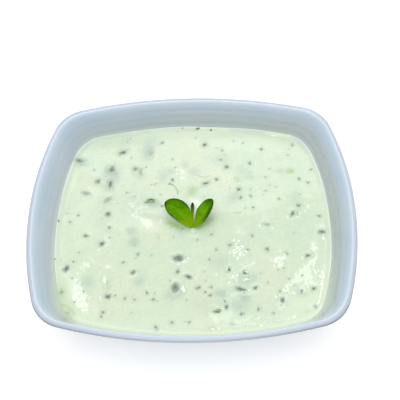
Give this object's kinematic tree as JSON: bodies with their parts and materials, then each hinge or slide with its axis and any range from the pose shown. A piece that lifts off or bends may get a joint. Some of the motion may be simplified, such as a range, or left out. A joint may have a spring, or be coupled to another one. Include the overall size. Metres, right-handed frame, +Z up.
{
  "type": "tzatziki dip",
  "caption": "Yoghurt dip with herb and cucumber flakes in a rounded rectangular porcelain bowl, topped with a mint sprig.",
  "frame": {"origin": "on the table under the middle of the bowl", "axes": "+X along the bowl's length, +Y across it towards the side the leaves lean to, +Z up"},
  "size_m": [0.16, 0.132, 0.05],
  "materials": {
    "glazed_porcelain": "glossy pale blue-white glaze",
    "tzatziki": "wet, creamy, pale green-white",
    "mint": "fresh green leaf, satin"
  },
  "bodies": {
    "root": {"serving_bowl": "glazed_porcelain", "tzatziki_dip": "tzatziki", "mint_sprig": "mint"}
  },
  "joints": []
}
